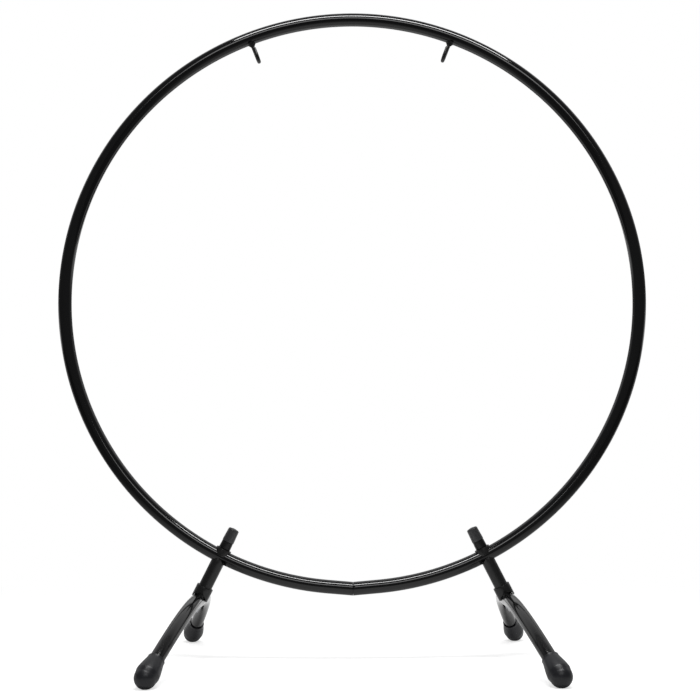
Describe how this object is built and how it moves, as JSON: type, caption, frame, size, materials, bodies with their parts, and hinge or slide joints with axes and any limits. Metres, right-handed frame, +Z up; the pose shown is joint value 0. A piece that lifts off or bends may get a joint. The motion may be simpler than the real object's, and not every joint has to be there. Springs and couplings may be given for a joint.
{
  "type": "round gong stand",
  "caption": "Round floor stand for a gong: black steel hoop with hooks under its top, on arched foot tubes with rubber feet that swivel under clamp nuts.",
  "frame": {"origin": "on the floor under the middle of the stand", "axes": "+Z up, +X to the right seen from the front, -Y towards the player in front of the stand"},
  "size_m": [1.1354, 0.582, 1.2585],
  "materials": {
    "gloss_black": "gloss black powder coat on bent steel tube",
    "satin_black": "satin black paint",
    "black_steel": "blackened steel, satin",
    "zinc": "bright zinc plate",
    "black_rubber": "moulded black rubber, soft sheen",
    "grey_vinyl": "dipped dark grey vinyl, matte"
  },
  "bodies": {
    "frame": {"hoop_tube": "gloss_black", "hoop_spigot": "black_steel", "left_gong_hook": "satin_black", "right_gong_hook": "satin_black", "left_saddle_washer": "satin_black", "right_saddle_washer": "satin_black", "left_spacer_tube": "satin_black", "right_spacer_tube": "satin_black"},
    "left_foot": {"left_saddle_collar": "satin_black", "left_foot_tube": "gloss_black", "left_head_washer": "zinc", "left_stem_bolt": "zinc", "left_front_rubber_foot": "black_rubber", "left_rear_rubber_foot": "black_rubber"},
    "left_nut": {"left_clamp_nut": "black_steel", "left_grip_cap": "grey_vinyl"},
    "right_foot": {"right_saddle_collar": "satin_black", "right_foot_tube": "gloss_black", "right_head_washer": "zinc", "right_stem_bolt": "zinc", "right_front_rubber_foot": "black_rubber", "right_rear_rubber_foot": "black_rubber"},
    "right_nut": {"right_clamp_nut": "black_steel", "right_grip_cap": "grey_vinyl"}
  },
  "joints": [
    {"name": "left_foot_swivel", "type": "hinge", "parent": "frame", "child": "left_foot", "pos_m": [-0.24937, 0, 0.19498], "axis": [0.4493, 0, 0.8934], "range_deg": [-90, 90]},
    {"name": "left_nut_turn", "type": "hinge", "parent": "left_foot", "child": "left_nut", "pos_m": [-0.24937, 0, 0.19498], "axis": [0.4493, 0, 0.8934], "continuous": true},
    {"name": "right_foot_swivel", "type": "hinge", "parent": "frame", "child": "right_foot", "pos_m": [0.24937, 0, 0.19498], "axis": [-0.4493, 0, 0.8934], "range_deg": [-90, 90]},
    {"name": "right_nut_turn", "type": "hinge", "parent": "right_foot", "child": "right_nut", "pos_m": [0.24937, 0, 0.19498], "axis": [-0.4493, 0, 0.8934], "continuous": true}
  ]
}
